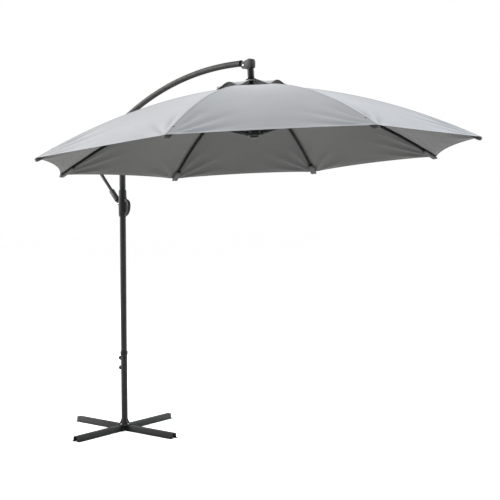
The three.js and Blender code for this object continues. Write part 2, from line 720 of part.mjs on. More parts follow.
function ventCap() {
  return ribbedSheet(CAP.along, PANEL.across, CAP.sheet, (t, share) => {
    const hem = CAP.outer - CAP.scallop * bulge(share);
    const radius = THREE.MathUtils.lerp(CAP.inner, hem, t);
    return { radius, height: capHeight(radius) + CAP.lift * bulge(share) ** 2 * t * t };
  });
}

// ---------- ribs and stretchers ----------

function stretcherPivot() {
  const z = coverHeight(STRETCHER.rib) - RIBS.below - RIBS.height / 2 - STRETCHER.drop;
  return { x: STRETCHER.rib, z };
}

// The bowed band between two depths under the cover, from one radius to another.
function ribBand(start, end, upperDepth, lowerDepth, half) {
  const steps = 9;
  const upper = [];
  const lower = [];
  for (let i = 0; i <= steps; i += 1) {
    const r = THREE.MathUtils.lerp(start, end, i / steps);
    upper.push([r, coverHeight(r) - upperDepth]);
    lower.unshift([r, coverHeight(r) - lowerDepth]);
  }
  return sidePlate(outline([...upper, ...lower]), -half, half);
}

// One rib in its own plane, where X is outwards and Z is up: a folded channel, open below.
function rib() {
  const { start, end, width, height, wall, below } = RIBS;
  const full = ribBand(start, end, below, below + height, width / 2);
  const hollow = ribBand(start + 14, end - 4, below + wall, below + height + PAST, width / 2 - wall);
  const bar = cut(full, hollow);
  const root = new THREE.Shape();
  root.absarc(HUB.pivot, HUB.height, 6.5, Math.PI / 2, (3 * Math.PI) / 2, false);
  root.lineTo(RIBS.start + 12, HUB.height - 6.5);
  root.lineTo(RIBS.start + 12, HUB.height + 5.5);
  const blade = sidePlate(root, -STRETCHER.blade / 2, STRETCHER.blade / 2, 5);
  const pivot = stretcherPivot();
  const ear = new THREE.Shape();
  ear.moveTo(pivot.x - 15, pivot.z + 15);
  ear.absarc(pivot.x, pivot.z, 7.5, Math.PI, 2 * Math.PI, false);
  ear.lineTo(pivot.x + 15, pivot.z + 6);
  const ears = [[3.1, 6.1], [-6.1, -3.1]].map(([y0, y1]) => sidePlate(ear, y0, y1, 4));
  return join(bar, blade, ...ears);
}

// One stretcher along +X from the runner's pivot to the rib's: a channel, open below.
function stretcher(length) {
  const { width, height, wall, blade } = STRETCHER;
  const full = box(20, length - 20, -width / 2, width / 2, -height / 2, height / 2);
  const inner = width / 2 - wall;
  const hollow = box(30, length - 30, -inner, inner, -height / 2 - PAST, height / 2 - wall);
  const bar = cut(full, hollow);
  const ends = new THREE.Shape();
  ends.absarc(0, 0, 6, Math.PI / 2, (3 * Math.PI) / 2, false);
  ends.absarc(length, 0, 6, -Math.PI / 2, Math.PI / 2, false);
  return join(bar, sidePlate(ends, -blade / 2, blade / 2, 5));
}

function addRib(group, number) {
  const frame = subgroup(group);
  frame.rotation.z = radians(RIBS.first + (360 / RIBS.count) * (number - 1));
  add(frame, `rib_${number}`, rib(), PAINT);
  const pivot = stretcherPivot();
  const run = [pivot.x - STRETCHER.pivot, pivot.z - STRETCHER.runner];
  const link = add(frame, `stretcher_${number}`, stretcher(Math.hypot(...run)), PAINT);
  link.position.set(STRETCHER.pivot, 0, STRETCHER.runner);
  link.rotation.y = -Math.atan2(run[1], run[0]);
}

// ---------- the whole ----------

addBase(parasol);
for (const [place, z] of Object.entries(KNOB.heights)) {
  add(parasol, `clamp_knob_${place}`, clampKnob(z), PLASTIC);
}
addMast(parasol);
addSlider(parasol);
addTrigger(parasol);
addCrank(parasol);
add(parasol, "crank_knob", crankKnob(), PLASTIC);
addStrut(parasol);
addArm(parasol);
add(parasol, "elbow_pulley", elbowPulley(), PLASTIC);

const hanging = subgroup(parasol);
hanging.position.set(CANOPY.x, 0, CANOPY.z);
hanging.rotation.y = -radians(CANOPY.lean);
addHanger(hanging);
add(hanging, "runner_hub", runnerHub(), PLASTIC);
add(hanging, "runner_cap", runnerCap(), PLASTIC);
for (let number = 1; number <= RIBS.count; number += 1) addRib(hanging, number);

export default parasol;
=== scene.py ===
import json
import math

import bpy
from mathutils import Matrix, Vector


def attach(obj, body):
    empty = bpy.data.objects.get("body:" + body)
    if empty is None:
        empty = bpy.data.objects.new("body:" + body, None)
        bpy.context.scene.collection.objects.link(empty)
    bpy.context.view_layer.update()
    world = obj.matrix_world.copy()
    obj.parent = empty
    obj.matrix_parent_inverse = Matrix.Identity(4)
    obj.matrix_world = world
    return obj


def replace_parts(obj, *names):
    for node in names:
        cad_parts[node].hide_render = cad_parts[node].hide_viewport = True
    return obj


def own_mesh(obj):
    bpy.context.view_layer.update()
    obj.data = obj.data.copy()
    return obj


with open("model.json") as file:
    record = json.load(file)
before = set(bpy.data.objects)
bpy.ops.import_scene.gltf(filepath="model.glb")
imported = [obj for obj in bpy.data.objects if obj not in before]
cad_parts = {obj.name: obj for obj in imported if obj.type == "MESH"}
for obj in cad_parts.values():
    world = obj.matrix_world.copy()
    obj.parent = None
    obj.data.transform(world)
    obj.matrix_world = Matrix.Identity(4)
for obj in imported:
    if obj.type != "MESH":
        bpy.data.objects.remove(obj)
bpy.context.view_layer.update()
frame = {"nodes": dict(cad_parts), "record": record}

nodes = frame["nodes"]

# ---------- dimensions, in metres and degrees ----------

CAMERA_PLACE = (6.4990, -4.5886, 1.8021)
CAMERA_YAW = -47.493
CAMERA_PITCH = -2.675
CAMERA_ROLL = -0.182
CAMERA_LENS = 71.56
CAMERA_SENSOR = 36
CAMERA_REACH = 200

CANOPY = Vector((1.550, 0.0, 2.116))
LEAN = math.radians(4.37)
RIB_COUNT = 8
FIRST_RIB = -106.5
CORNER = math.pi / RIB_COUNT
HUB_PIVOT = 0.050
RADIUS = 1.500
RISE = 0.478
BOW = 0.083
SCALLOP = 0.048
SAG = 0.014
HEM_DROP = 0.018
MEAN_SCALLOP = 0.6  # of the scallop's depth, for a panel's flat size

FOLD_DEPTH = 0.0075
FOLD_COUNT = 6.0
FOLD_ROOT = 0.012
FOLD_REACH = 0.16
FOLD_SPREAD = 0.17
FOLD_CLEAR = 0.026
FOLD_START = 0.03
FOLD_EDGE = 0.03
FOLD_AT_HEM = 0.35

VENT = 0.225
CLOTH = 0.0009
SEAM_THICK = 0.0011
HEM_THICK = 0.0009
PANEL_ROWS = 60
PANEL_COLUMNS = 36
TOWARDS_SEAM = 1.5  # powers that crowd the columns to the seam and the rows to the hem
TOWARDS_HEM = 1.4

CAP_INNER = 0.028
CAP_OUTER = 0.265
CAP_CREST = 0.524
CAP_LIFT = 0.032
CAP_SCALLOP = 0.012
CAP_SEAT = 0.0037
CAP_ROWS = 16
CAP_COLUMNS = 14

RIB_BELOW = 0.0032
RIB_HEIGHT = 0.017
STRETCHER_RIB = 0.640
STRETCHER_DROP = 0.0175

POCKET_LENGTH = 0.112
POCKET_HALF = 0.0235
POCKET_DEPTH = 0.0128
POCKET_PAST = 0.006
POCKET_GAP = 0.0006
POCKET_LEAN = 0.17
POCKET_ROUND = 0.28  # share of the length that is rounded off
POCKET_MOUTH = 0.86  # size at the open end, as a share of the full size
POCKET_FLARE = 0.2
POCKET_SMALLEST = 0.02

STRAP_BACK = 0.110
STRAP_DROP = 0.0146
STRAP_WIDE = 0.0105
STRAP_TALL = 0.0115
STRAP_THICK = 0.0014
STRAP_RUN = 0.006

RIVET_HALF = 0.0061
RIVET_SHANK = 0.0022
RIVET_HEAD = 0.0042
RIVET_RISE = 0.0022
RIVET_CROWN = (0.0024, 0.0019)
RIVET_RIM = 0.0006

MAST_RADIUS = 0.024
TUBE_WALL = 0.0015
MAST_BOTTOM = 0.080
MAST_TOP = 2.375
ARM_CENTRE = (1.302, -0.139)
ARM_BEND = 2.900
ARM_RADIUS = 0.021
ARM_TAIL = -35.9
ARM_END = 1.98
STRUT_FOOT = (-0.040, 1.806)
TAIL_PIN = (-0.443, 2.183)
STRUT_RADIUS = 0.013
STRUT_FROM = 0.040
STRUT_SHORT = 0.024
STEM_RADIUS = 0.015
STEM_BOTTOM = 0.205
STEM_TOP = 0.640

COLLAR_BORE = 0.0264
COLLAR_RADIUS = 0.030
COLLAR_BOTTOM = 0.600
COLLAR_TOP = 0.632
COLLAR_LIP_BORE = 0.025
COLLAR_LIP = 0.6224
STEM_BORE = 0.0154
CROWN_RADIUS = 0.038
CROWN_EDGE = 0.002
CROWN_SEAT = 0.5255
CROWN_SHOULDER = (0.032, 0.531)
CROWN_LIP = 0.024
CROWN_TOP = 0.533
SLEEVE_RADIUS = 0.023
SLEEVE_BOTTOM = 0.534
SLEEVE_TOP = 0.6026

WELD_GAP = 0.00002
EDGE_WIDTH = 0.0006
EDGE_ANGLE = 40
SHADE_ANGLE = 32
TOUCH = 1e-6

# ---------- the canopy's own frame ----------

TO_WORLD = Matrix.Translation(CANOPY) @ Matrix.Rotation(-LEAN, 4, "Y")


def rib_angle(number):
    return math.radians(FIRST_RIB + 360 / RIB_COUNT * (number - 1))


def cover_height(radius):
    t = (radius - HUB_PIVOT) / (RADIUS - HUB_PIVOT)
    return RISE * (1 - t) + 4 * BOW * t * (1 - t)


def bulge(share):
    return 4 * share * (1 - share)


# ---------- materials ----------

def material(name, colour, roughness, metallic=0.0):
    made = bpy.data.materials.new(name)
    made.use_nodes = True
    shader = made.node_tree.nodes["Principled BSDF"]
    shader.inputs["Base Color"].default_value = (*colour, 1)
    shader.inputs["Roughness"].default_value = roughness
    shader.inputs["Metallic"].default_value = metallic
    return made, made.node_tree, shader


def noise(tree, scale, detail=3.0):
    place = tree.nodes.new("ShaderNodeTexCoord")
    made = tree.nodes.new("ShaderNodeTexNoise")
    made.inputs["Scale"].default_value = scale
    made.inputs["Detail"].default_value = detail
    tree.links.new(place.outputs["Object"], made.inputs["Vector"])
    return made.outputs["Fac"]


def ramp(tree, value, low, high, start=0.3, end=0.7):
    made = tree.nodes.new("ShaderNodeValToRGB")
    made.color_ramp.elements[0].position = start
    made.color_ramp.elements[1].position = end
    made.color_ramp.elements[0].color = (*low, 1)
    made.color_ramp.elements[1].color = (*high, 1)
    tree.links.new(value, made.inputs["Fac"])
    return made.outputs["Color"]


def bump(tree, shader, value, strength, distance):
    made = tree.nodes.new("ShaderNodeBump")
    made.inputs["Strength"].default_value = strength
    made.inputs["Distance"].default_value = distance
    tree.links.new(value, made.inputs["Height"])
    tree.links.new(made.outputs["Normal"], shader.inputs["Normal"])


def math_node(tree, operation, a, b=0.0):
    made = tree.nodes.new("ShaderNodeMath")
    made.operation = operation
    for socket, value in zip(made.inputs, (a, b)):
        if isinstance(value, (int, float)):
            socket.default_value = value
        else:
            tree.links.new(value, socket)
    return made.outputs[0]


def grained(name, low, high, roughness, metallic, grain, depth, specular=0.5):
    made, tree, shader = material(name, low, roughness[0], metallic)
    shader.inputs["Specular IOR Level"].default_value = specular
    patches, wear, grain_strength = 9.0, 60.0, 0.35
    tree.links.new(ramp(tree, noise(tree, patches), low, high), shader.inputs["Base Color"])
    rough = ramp(tree, noise(tree, wear), (roughness[0],) * 3, (roughness[1],) * 3)
    tree.links.new(rough, shader.inputs["Roughness"])
    bump(tree, shader, noise(tree, grain, detail=4.0), grain_strength, depth)
    return made


PAINT = grained(
    "powder_coat", (0.0088, 0.0101, 0.0100), (0.0132, 0.0147, 0.0145),
    roughness=(0.52, 0.68), metallic=0.0, grain=900, depth=0.0004, specular=0.17,
)
PLASTIC = grained(
    "moulded_plastic", (0.0050, 0.0055, 0.0058), (0.0082, 0.0088, 0.0092),
    roughness=(0.50, 0.66), metallic=0.0, grain=1400, depth=0.0003, specular=0.18,
)
ZINC = grained(
    "zinc_plate", (0.50, 0.51, 0.53), (0.68, 0.69, 0.70),
    roughness=(0.26, 0.44), metallic=1.0, grain=500, depth=0.0002,
)
STRAP = grained(
    "webbing", (0.009, 0.009, 0.010), (0.018, 0.018, 0.019),
    roughness=(0.75, 0.90), metallic=0.0, grain=700, depth=0.0006, specular=0.2,
)


def fabric(name, low, high):
    """A plain weave: warp along U and weft along V, both in metres."""
    yarns = 1100.0
    mottle, mottle_share = 3.0, 0.7
    slubs, slub_share = 240.0, 0.3
    made, tree, shader = material(name, low, roughness=0.86)
    shader.inputs["Sheen Weight"].default_value = 0.12
    shader.inputs["Sheen Roughness"].default_value = 0.5
    shader.inputs["Specular IOR Level"].default_value = 0.25
    place = tree.nodes.new("ShaderNodeUVMap")
    place.uv_map = "UVMap"
    split = tree.nodes.new("ShaderNodeSeparateXYZ")
    tree.links.new(place.outputs["UV"], split.inputs[0])
    warp = math_node(tree, "SINE", math_node(tree, "MULTIPLY", split.outputs["X"], yarns * math.pi))
    weft = math_node(tree, "SINE", math_node(tree, "MULTIPLY", split.outputs["Y"], yarns * math.pi))
    weave = math_node(tree, "MULTIPLY", warp, weft)
    mottled = math_node(tree, "MULTIPLY", noise(tree, mottle, detail=4.0), mottle_share)
    slub = math_node(tree, "MULTIPLY", noise(tree, slubs, detail=2.0), slub_share)
    colour = ramp(tree, math_node(tree, "ADD", mottled, slub), low, high)
    tree.links.new(colour, shader.inputs["Base Color"])
    bump(tree, shader, weave, strength=0.18, distance=0.0002)
    return made


COVER = fabric("canopy_cloth", (0.240, 0.251, 0.268), (0.268, 0.280, 0.298))
# The underside is the same cloth as the cover, made much darker: painted shade for the shadow under the
# canopy, not a different fabric.
UNDERSIDE_SHADE_CLOTH = fabric("canopy_underside_painted_shade", (0.0322, 0.0322, 0.0312), (0.0378, 0.0378, 0.0365))
SEAM = fabric("canopy_seam_tape", (0.205, 0.215, 0.230), (0.236, 0.247, 0.262))
BY_SLOT = {"painted_steel": PAINT, "black_plastic": PLASTIC, "zinc_steel": ZINC, "canopy_fabric": COVER}

# ---------- mesh helpers ----------


def mesh_piece(name, verts, faces, mats, body, uvs=None, face_mats=None):
    mesh = bpy.data.meshes.new(name)
    mesh.from_pydata([tuple(v) for v in verts], [], faces)
    for each in mats:
        mesh.materials.append(each)
    mesh.polygons.foreach_set("use_smooth", [True] * len(mesh.polygons))
    if face_mats:
        mesh.polygons.foreach_set("material_index", face_mats)
    if uvs:
        layer = mesh.uv_layers.new(name="UVMap")
        for loop in mesh.loops:
            layer.data[loop.index].uv = uvs[loop.vertex_index]
    mesh.update()
    made = bpy.data.objects.new(name, mesh)
    bpy.context.scene.collection.objects.link(made)
    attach(made, body)
    return made


def sharpen(obj, angle=35.0):
    obj.data.set_sharp_from_angle(angle=math.radians(angle))
    return obj


def lathe(name, profile, mat, body, matrix=Matrix.Identity(4), steps=56):
    """A turned piece about local Z from a closed profile of (radius, height), which runs so that
    faces point out."""
    verts = []
    rows = []
    for radius, height in profile:
        if radius < TOUCH:
            rows.append([len(verts)] * steps)
            verts.append(matrix @ Vector((0, 0, height)))
            continue
        row = []
        for i in range(steps):
            turn = 2 * math.pi * i / steps
            row.append(len(verts))
            verts.append(matrix @ Vector((radius * math.cos(turn), radius * math.sin(turn), height)))
        rows.append(row)
    faces = []
    for lower, upper in zip(rows, rows[1:]):
        for i in range(steps):
            j = (i + 1) % steps
            corners = []
            for v in (lower[i], lower[j], upper[j], upper[i]):
                if v not in corners:
                    corners.append(v)
            if len(corners) > 2:
                faces.append(corners)
    return sharpen(mesh_piece(name, verts, faces, [mat], body))


def rounded(profile, size=0.0012, longest_share=0.4):
    """A profile with each inner corner cut back, so that it catches light as a real edge does."""
    made = []
    last = len(profile) - 1
    for i, (r, z) in enumerate(profile):
        if i in (0, last) or r < TOUCH:
            made.append((r, z))
            continue
        here = Vector((r, z))
        for other in (profile[i - 1], profile[i + 1]):
            way = Vector(other) - here
            cut = min(size, way.length * longest_share)
            made.append(tuple(here + way.normalized() * cut))
    return made


def along(foot, head):
    """Local Z along the line from foot to head, both (x, z) in the XZ plane."""
    start = Vector((foot[0], 0, foot[1]))
    way = Vector((head[0] - foot[0], 0, head[1] - foot[1]))
    return Matrix.Translation(start) @ way.to_track_quat("Z", "Y").to_matrix().to_4x4()


def tube(name, radius, wall, z0, z1, mat, body, matrix=Matrix.Identity(4)):
    edge = 0.0005
    inner = radius - wall
    profile = [
        (inner, z0 + edge), (inner + edge, z0), (radius - edge, z0), (radius, z0 + edge),
        (radius, z1 - edge), (radius - edge, z1), (inner + edge, z1), (inner, z1 - edge),
        (inner, z0 + edge),
    ]
    return lathe(name, profile, mat, body, matrix)


# ---------- carried-over CAD nodes ----------

def smoothing_group():
    """Drops a CAD mesh's imported normals and shades it by angle; the weld is a modifier of its own before
    it.
    """
    group = bpy.data.node_groups.new("shade_by_angle", "GeometryNodeTree")
    group.interface.new_socket("Geometry", in_out="INPUT", socket_type="NodeSocketGeometry")
    group.interface.new_socket("Geometry", in_out="OUTPUT", socket_type="NodeSocketGeometry")
    make = group.nodes.new
    start = make("NodeGroupInput")
    end = make("NodeGroupOutput")
    drop = make("GeometryNodeRemoveAttribute")
    drop.inputs["Name"].default_value = "custom_normal"
    edges = make("GeometryNodeSetShadeSmooth")
    edges.domain = "EDGE"
    faces = make("GeometryNodeSetShadeSmooth")
    faces.domain = "FACE"
    angle = make("GeometryNodeInputMeshEdgeAngle")
    soft = make("FunctionNodeCompare")
    soft.data_type = "FLOAT"
    soft.operation = "LESS_THAN"
    soft.inputs[1].default_value = math.radians(SHADE_ANGLE)
    link = group.links.new
    link(start.outputs[0], drop.inputs["Geometry"])
    link(drop.outputs["Geometry"], edges.inputs["Geometry"])
    link(angle.outputs["Unsigned Angle"], soft.inputs[0])
    link(soft.outputs["Result"], edges.inputs["Shade Smooth"])
    link(edges.outputs["Geometry"], faces.inputs["Geometry"])
    link(faces.outputs["Geometry"], end.inputs[0])
    return group


SHADING = smoothing_group()
SLOT_OF = {part["node"]: part["material_slot"] for part in frame["record"]["subparts"]}
SOFT_NODES = ("canopy_cover", "vent_cap")
for name, obj in nodes.items():
    if name in SOFT_NODES:
        continue
    for socket in obj.material_slots:
        socket.material = BY_SLOT[SLOT_OF[name]]
    weld = obj.modifiers.new("weld", "WELD")
    weld.merge_threshold = WELD_GAP
    bevel = obj.modifiers.new("edge", "BEVEL")
    bevel.width = EDGE_WIDTH
    bevel.segments = 2
    bevel.limit_method = "ANGLE"
    bevel.angle_limit = math.radians(EDGE_ANGLE)
    shade = obj.modifiers.new("shade", "NODES")
    shade.node_group = SHADING

# ---------- smooth stand-ins for the round pieces ----------

mast = tube("mast_tube_round", MAST_RADIUS, TUBE_WALL, MAST_BOTTOM, MAST_TOP, PAINT, "mast")
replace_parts(mast, "mast_tube")

strut_run = math.dist(STRUT_FOOT, TAIL_PIN)
strut_frame = along(STRUT_FOOT, TAIL_PIN)
strut = tube(
    "strut_tube_round", STRUT_RADIUS, TUBE_WALL, STRUT_FROM, strut_run - STRUT_SHORT,
    PAINT, "strut", strut_frame,
)
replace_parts(strut, "strut_tube")

stem = tube(
    "hanger_stem_round", STEM_RADIUS, TUBE_WALL, STEM_BOTTOM, STEM_TOP,
    PAINT, "hanger", TO_WORLD,
)
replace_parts(stem, "hanger_stem")



def chamfered(bore, radius, bottom, top, foot, shoulder):
    """A ring's section from its bore out and up; foot and shoulder are chamfers, (across, along)."""
    return [
        (bore, bottom), (radius - foot[0], bottom), (radius, bottom + foot[1]),
        (radius, top - shoulder[1]), (radius - shoulder[0], top),
    ]


collar_section = chamfered(
    COLLAR_BORE, COLLAR_RADIUS, COLLAR_BOTTOM, COLLAR_TOP, foot=(0.001, 0.004), shoulder=(0.003, 0.005))
collar_section += [
    (COLLAR_LIP_BORE, COLLAR_TOP), (COLLAR_LIP_BORE, COLLAR_LIP), (COLLAR_BORE, COLLAR_LIP),
    (COLLAR_BORE, COLLAR_BOTTOM),
]
collar = lathe("post_collar_round", rounded(collar_section), PLASTIC, "base")
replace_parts(collar, "post_collar")

crown_section = [
    (STEM_BORE, CROWN_SEAT), (CROWN_RADIUS - CROWN_EDGE, CROWN_SEAT),
    (CROWN_RADIUS, CROWN_SEAT + CROWN_EDGE), CROWN_SHOULDER, (CROWN_LIP, CROWN_TOP),
    (STEM_BORE, CROWN_TOP), (STEM_BORE, CROWN_SEAT),
]
crown = lathe("crown_ring_round", rounded(crown_section), PLASTIC, "hanger", TO_WORLD)
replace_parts(crown, "crown_ring")

sleeve_section = chamfered(
    STEM_BORE, SLEEVE_RADIUS, SLEEVE_BOTTOM, SLEEVE_TOP, foot=(0.002, 0.004), shoulder=(0.002, 0.004))
sleeve_section += [(STEM_BORE, SLEEVE_TOP), (STEM_BORE, SLEEVE_BOTTOM)]
sleeve = lathe("hanger_sleeve_round", rounded(sleeve_section), PLASTIC, "hanger", TO_WORLD)
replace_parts(sleeve, "hanger_collar")


def arm_point(angle):
    turn = math.radians(angle)
    return Vector((ARM_CENTRE[0] + ARM_BEND * math.sin(turn), 0, ARM_CENTRE[1] + ARM_BEND * math.cos(turn)))


def bowed_arm():
    steps, sides = 96, 40
    verts, faces = [], []
    for layer, radius in enumerate((ARM_RADIUS, ARM_RADIUS - TUBE_WALL)):
        for i in range(steps + 1):
            angle = ARM_TAIL + (ARM_END - ARM_TAIL) * i / steps
            turn = math.radians(angle)
            outward = Vector((math.sin(turn), 0, math.cos(turn)))
            centre = arm_point(angle)
            for j in range(sides):
                a = 2 * math.pi * j / sides
                verts.append(centre + radius * (math.cos(a) * outward + math.sin(a) * Vector((0, 1, 0))))
    layer_size = (steps + 1) * sides
    for i in range(steps):
        for j in range(sides):
            k = (j + 1) % sides
            a, b = i * sides + j, i * sides + k
            c, d = b + sides, a + sides
            faces.append((a, b, c, d))
            faces.append((layer_size + a, layer_size + d, layer_size + c, layer_size + b))
    for i, flip in ((0, False), (steps, True)):
        for j in range(sides):
            k = (j + 1) % sides
            a, b = i * sides + j, i * sides + k
            ring = (a, layer_size + a, layer_size + b, b)
            faces.append(tuple(reversed(ring)) if flip else ring)
    return sharpen(mesh_piece("arm_tube_round", verts, faces, [PAINT], "arm"))


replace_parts(bowed_arm(), "arm_tube")

# ---------- fabric ----------


def panel_point(number, side, radius, share, height):
    """A point between rib number (share 0) and the next rib on that side (share 1)."""
    middle = rib_angle(number) + side * CORNER
    across = (2 * share - 1) * math.sin(CORNER) * radius * side
    out = math.cos(CORNER) * radius
    return Vector((
        out * math.cos(middle) - across * math.sin(middle),
        out * math.sin(middle) + across * math.cos(middle),
        height,
    ))


def tip_folds(radius, share, hem):
    """The fine folds that the pull of a rib's tip draws into the cloth beside it."""
    back = max(hem - radius, 0.0)
    beside = 2 * share * math.sin(CORNER) * radius
    reach = math.hypot(back, beside)
    fan = math.atan2(beside, back + FOLD_ROOT)
    fade = math.exp(-((reach - FOLD_REACH) / FOLD_SPREAD) ** 2)
    fade *= min(max(beside - FOLD_CLEAR, 0.0) / FOLD_START, 1.0)
    edge = min(back / FOLD_EDGE, 1.0)
    fade *= FOLD_AT_HEM + (1 - FOLD_AT_HEM) * edge
    return -FOLD_DEPTH * fade * math.sin(FOLD_COUNT * fan) ** 4


SEAM_STEPS = (0.0, 0.0032, 0.0064, 0.0078)  # from the rib's line: a flat felled seam and its edge
HEM_STEPS = (0.0, 0.003, 0.022, 0.0245)  # from the edge: the turned hem and its stitching


def cover_point(number, side, back, radius, beside, share):
    """The cover's upper side. back is the distance from the edge on the hem's rows, else None;
    beside is the distance from the rib's line on the seam's columns, else None."""
    hem = RADIUS - SCALLOP * bulge(share)
    t = min(max((radius - VENT) / (hem - VENT), 0.0), 1.0)
    sag = (SAG * math.sin(math.pi * t) + HEM_DROP * t ** 3) * bulge(share)
    on_seam = beside is not None and beside <= SEAM_STEPS[2] + TOUCH
    on_hem = back is not None and back <= HEM_STEPS[2] + TOUCH
    height = cover_height(radius) - sag + tip_folds(radius, share, hem)
    height += max(SEAM_THICK if on_seam else 0.0, HEM_THICK if on_hem else 0.0)
    return panel_point(number, side, radius, share, height)


def half_panel(number, side, name):
    last = PANEL_ROWS + len(HEM_STEPS) - 1
    inner_rows = PANEL_ROWS - 1
    backs = (*reversed(HEM_STEPS), 0.0)  # the outer edge is laid twice
    grid, uvs = [], []
    for j in range(last + 1):
        width = 2 * math.sin(CORNER) * (VENT + (RADIUS - VENT) * j / last)
        start = SEAM_STEPS[-1] / width
        line = []
        for i in range(PANEL_COLUMNS + len(SEAM_STEPS)):
            if i < len(SEAM_STEPS):
                beside = SEAM_STEPS[i]
                share = beside / width
            else:
                beside = None
                along_row = (i - len(SEAM_STEPS) + 1) / PANEL_COLUMNS
                share = start + (0.5 - start) * along_row ** TOWARDS_SEAM
            hem = RADIUS - SCALLOP * bulge(share)
            if j <= inner_rows:
                back = None
                inside = hem - HEM_STEPS[-1] - VENT
                radius = VENT + inside * (1 - (1 - j / inner_rows) ** TOWARDS_HEM)
            else:
                back = backs[j - inner_rows]
                radius = hem - back
            line.append(cover_point(number, side, back, radius, beside, share))
            uvs.append((2 * share * math.sin(CORNER) * radius, radius))
        grid.append(line)
    return closed_sheet(name, grid, uvs, number, side, COVER, UNDERSIDE_SHADE_CLOTH, len(SEAM_STEPS) - 2)


def closed_sheet(name, grid, uvs, number, side, top, under, seam_columns=0):
    """A thin closed sheet from its upper side, with the underside and edges in a darker copy of the cloth:
    painted shade for the shadow under the canopy.
    """
    rows, columns = len(grid), len(grid[0])
    layer = rows * columns
    upper = [TO_WORLD @ p for line in grid for p in line]
    lower = [TO_WORLD @ (p - Vector((0, 0, CLOTH))) for line in grid for p in line]
    faces, mats = [], []

    def quad(a, b, c, d, mat):
        faces.append((a, b, c, d) if side > 0 else (d, c, b, a))
        mats.append(mat)

    for j in range(rows - 1):
        for i in range(columns - 1):
            a, b = j * columns + i, j * columns + i + 1
            c, d = b + columns, a + columns
            quad(a, d, c, b, 2 if i < seam_columns else 0)
            quad(layer + a, layer + b, layer + c, layer + d, 1)
    border = [(j * columns, (j + 1) * columns) for j in range(rows - 1)]
    border += [((rows - 1) * columns + i, (rows - 1) * columns + i + 1) for i in range(columns - 1)]
    far = columns - 1
    border += [((j + 1) * columns + far, j * columns + far) for j in reversed(range(rows - 1))]
    border += [(i + 1, i) for i in reversed(range(columns - 1))]
    for a, b in border:
        quad(a, layer + a, layer + b, b, 1)
    made = mesh_piece(
        name, upper + lower, faces, [top, under, SEAM], f"rib_{number}_body",
        uvs + uvs, mats)
    return sharpen(made, 60.0)


def half_area(inner, outer, height):
    """Area of half a panel's cut, from its widths along its own slope."""
    steps = 60
    total = 0.0
    for i in range(steps):
        r0 = inner + (outer - inner) * i / steps
        r1 = inner + (outer - inner) * (i + 1) / steps
        slope = math.hypot((r1 - r0) * math.cos(CORNER), height(r1) - height(r0))
        total += slope * math.sin(CORNER) * (r0 + r1) / 2
    return total


def slope_length(inner, outer, height):
    steps = 60
    run = (outer - inner) / steps
    total = 0.0
    for i in range(steps):
        total += math.hypot(run, height(inner + run * (i + 1)) - height(inner + run * i))
    return total


def cap_height(radius):
    t = (radius - CAP_INNER) / (CAP_OUTER - CAP_INNER)
    edge = cover_height(CAP_OUTER) + CAP_SEAT
    return CAP_CREST + (edge - CAP_CREST) * t


def half_cap(number, side, name):
    grid, uvs = [], []
    for j in range(CAP_ROWS + 1):
        t = j / CAP_ROWS
        line = []
        for i in range(CAP_COLUMNS + 1):
            share = 0.5 * i / CAP_COLUMNS
            hem = CAP_OUTER - CAP_SCALLOP * bulge(share)
            radius = CAP_INNER + (hem - CAP_INNER) * t
            height = cap_height(radius) + CAP_LIFT * bulge(share) ** 2 * t * t
            line.append(panel_point(number, side, radius, share, height))
            uvs.append((2 * share * math.sin(CORNER) * radius, radius))
        grid.append(line)
    return closed_sheet(name, grid, uvs, number, side, COVER, UNDERSIDE_SHADE_CLOTH)


def fit_cloth(made, node, inner, outer, height):
    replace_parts(made, node)
    length = slope_length(inner, outer, height)
    half_area(inner, outer, height)
    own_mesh(made)


for number in range(1, RIB_COUNT + 1):
    for side, letter in ((-1, "a"), (1, "b")):
        panel = half_panel(number, side, f"canopy_panel_{number}{letter}")
        edge = RADIUS - SCALLOP * MEAN_SCALLOP
        fit_cloth(panel, "canopy_cover", VENT, edge, cover_height)
        cap = half_cap(number, side, f"vent_cap_panel_{number}{letter}")
        fit_cloth(cap, "vent_cap", CAP_INNER, CAP_OUTER, cap_height)

# ---------- rib tips ----------


def tip_pocket(number):
    """The sewn pocket that holds a rib's end: a flat, round-ended sleeve under the cover."""
    start = RADIUS - POCKET_LENGTH + POCKET_PAST
    rows, sides = 14, 20
    angle = rib_angle(number)
    out = Vector((math.cos(angle), math.sin(angle), 0))
    tangent = Vector((-math.sin(angle), math.cos(angle), 0))
    verts, faces, uvs = [], [], []
    for j in range(rows + 1):
        t = j / rows
        r = start + POCKET_LENGTH * t
        into_end = max((t - (1 - POCKET_ROUND)) / POCKET_ROUND, 0)
        mouth = POCKET_MOUTH + (1 - POCKET_MOUTH) * min(t / POCKET_FLARE, 1)
        taper = max(math.sqrt(max(1 - into_end ** 2, 0.0)) * mouth, POCKET_SMALLEST)
        centre_z = cover_height(r) - CLOTH - POCKET_GAP - POCKET_DEPTH * taper
        for i in range(sides):
            a = 2 * math.pi * i / sides
            across = POCKET_HALF * taper * math.cos(a)
            up = POCKET_DEPTH * taper * math.copysign(abs(math.sin(a)) ** 0.7, math.sin(a))
            ridge = cover_height(r) - cover_height(r + abs(across) * math.tan(CORNER))
            lean = ridge + POCKET_LEAN * abs(across)
            height = Vector((0, 0, centre_z + up - lean))
            verts.append(TO_WORLD @ (out * r + tangent * across + height))
            uvs.append((across, r))
    for j in range(rows):
        for i in range(sides):
            k = (i + 1) % sides
            faces.append((j * sides + i, (j + 1) * sides + i, (j + 1) * sides + k, j * sides + k))
    faces.append(tuple(range(sides)))
    faces.append(tuple(rows * sides + i for i in reversed(range(sides))))
    # The pocket takes the darkened underside cloth: painted shade for the canopy's shadow it hangs in.
    return mesh_piece(
        f"tip_pocket_{number}", verts, faces, [UNDERSIDE_SHADE_CLOTH], f"rib_{number}_body", uvs)


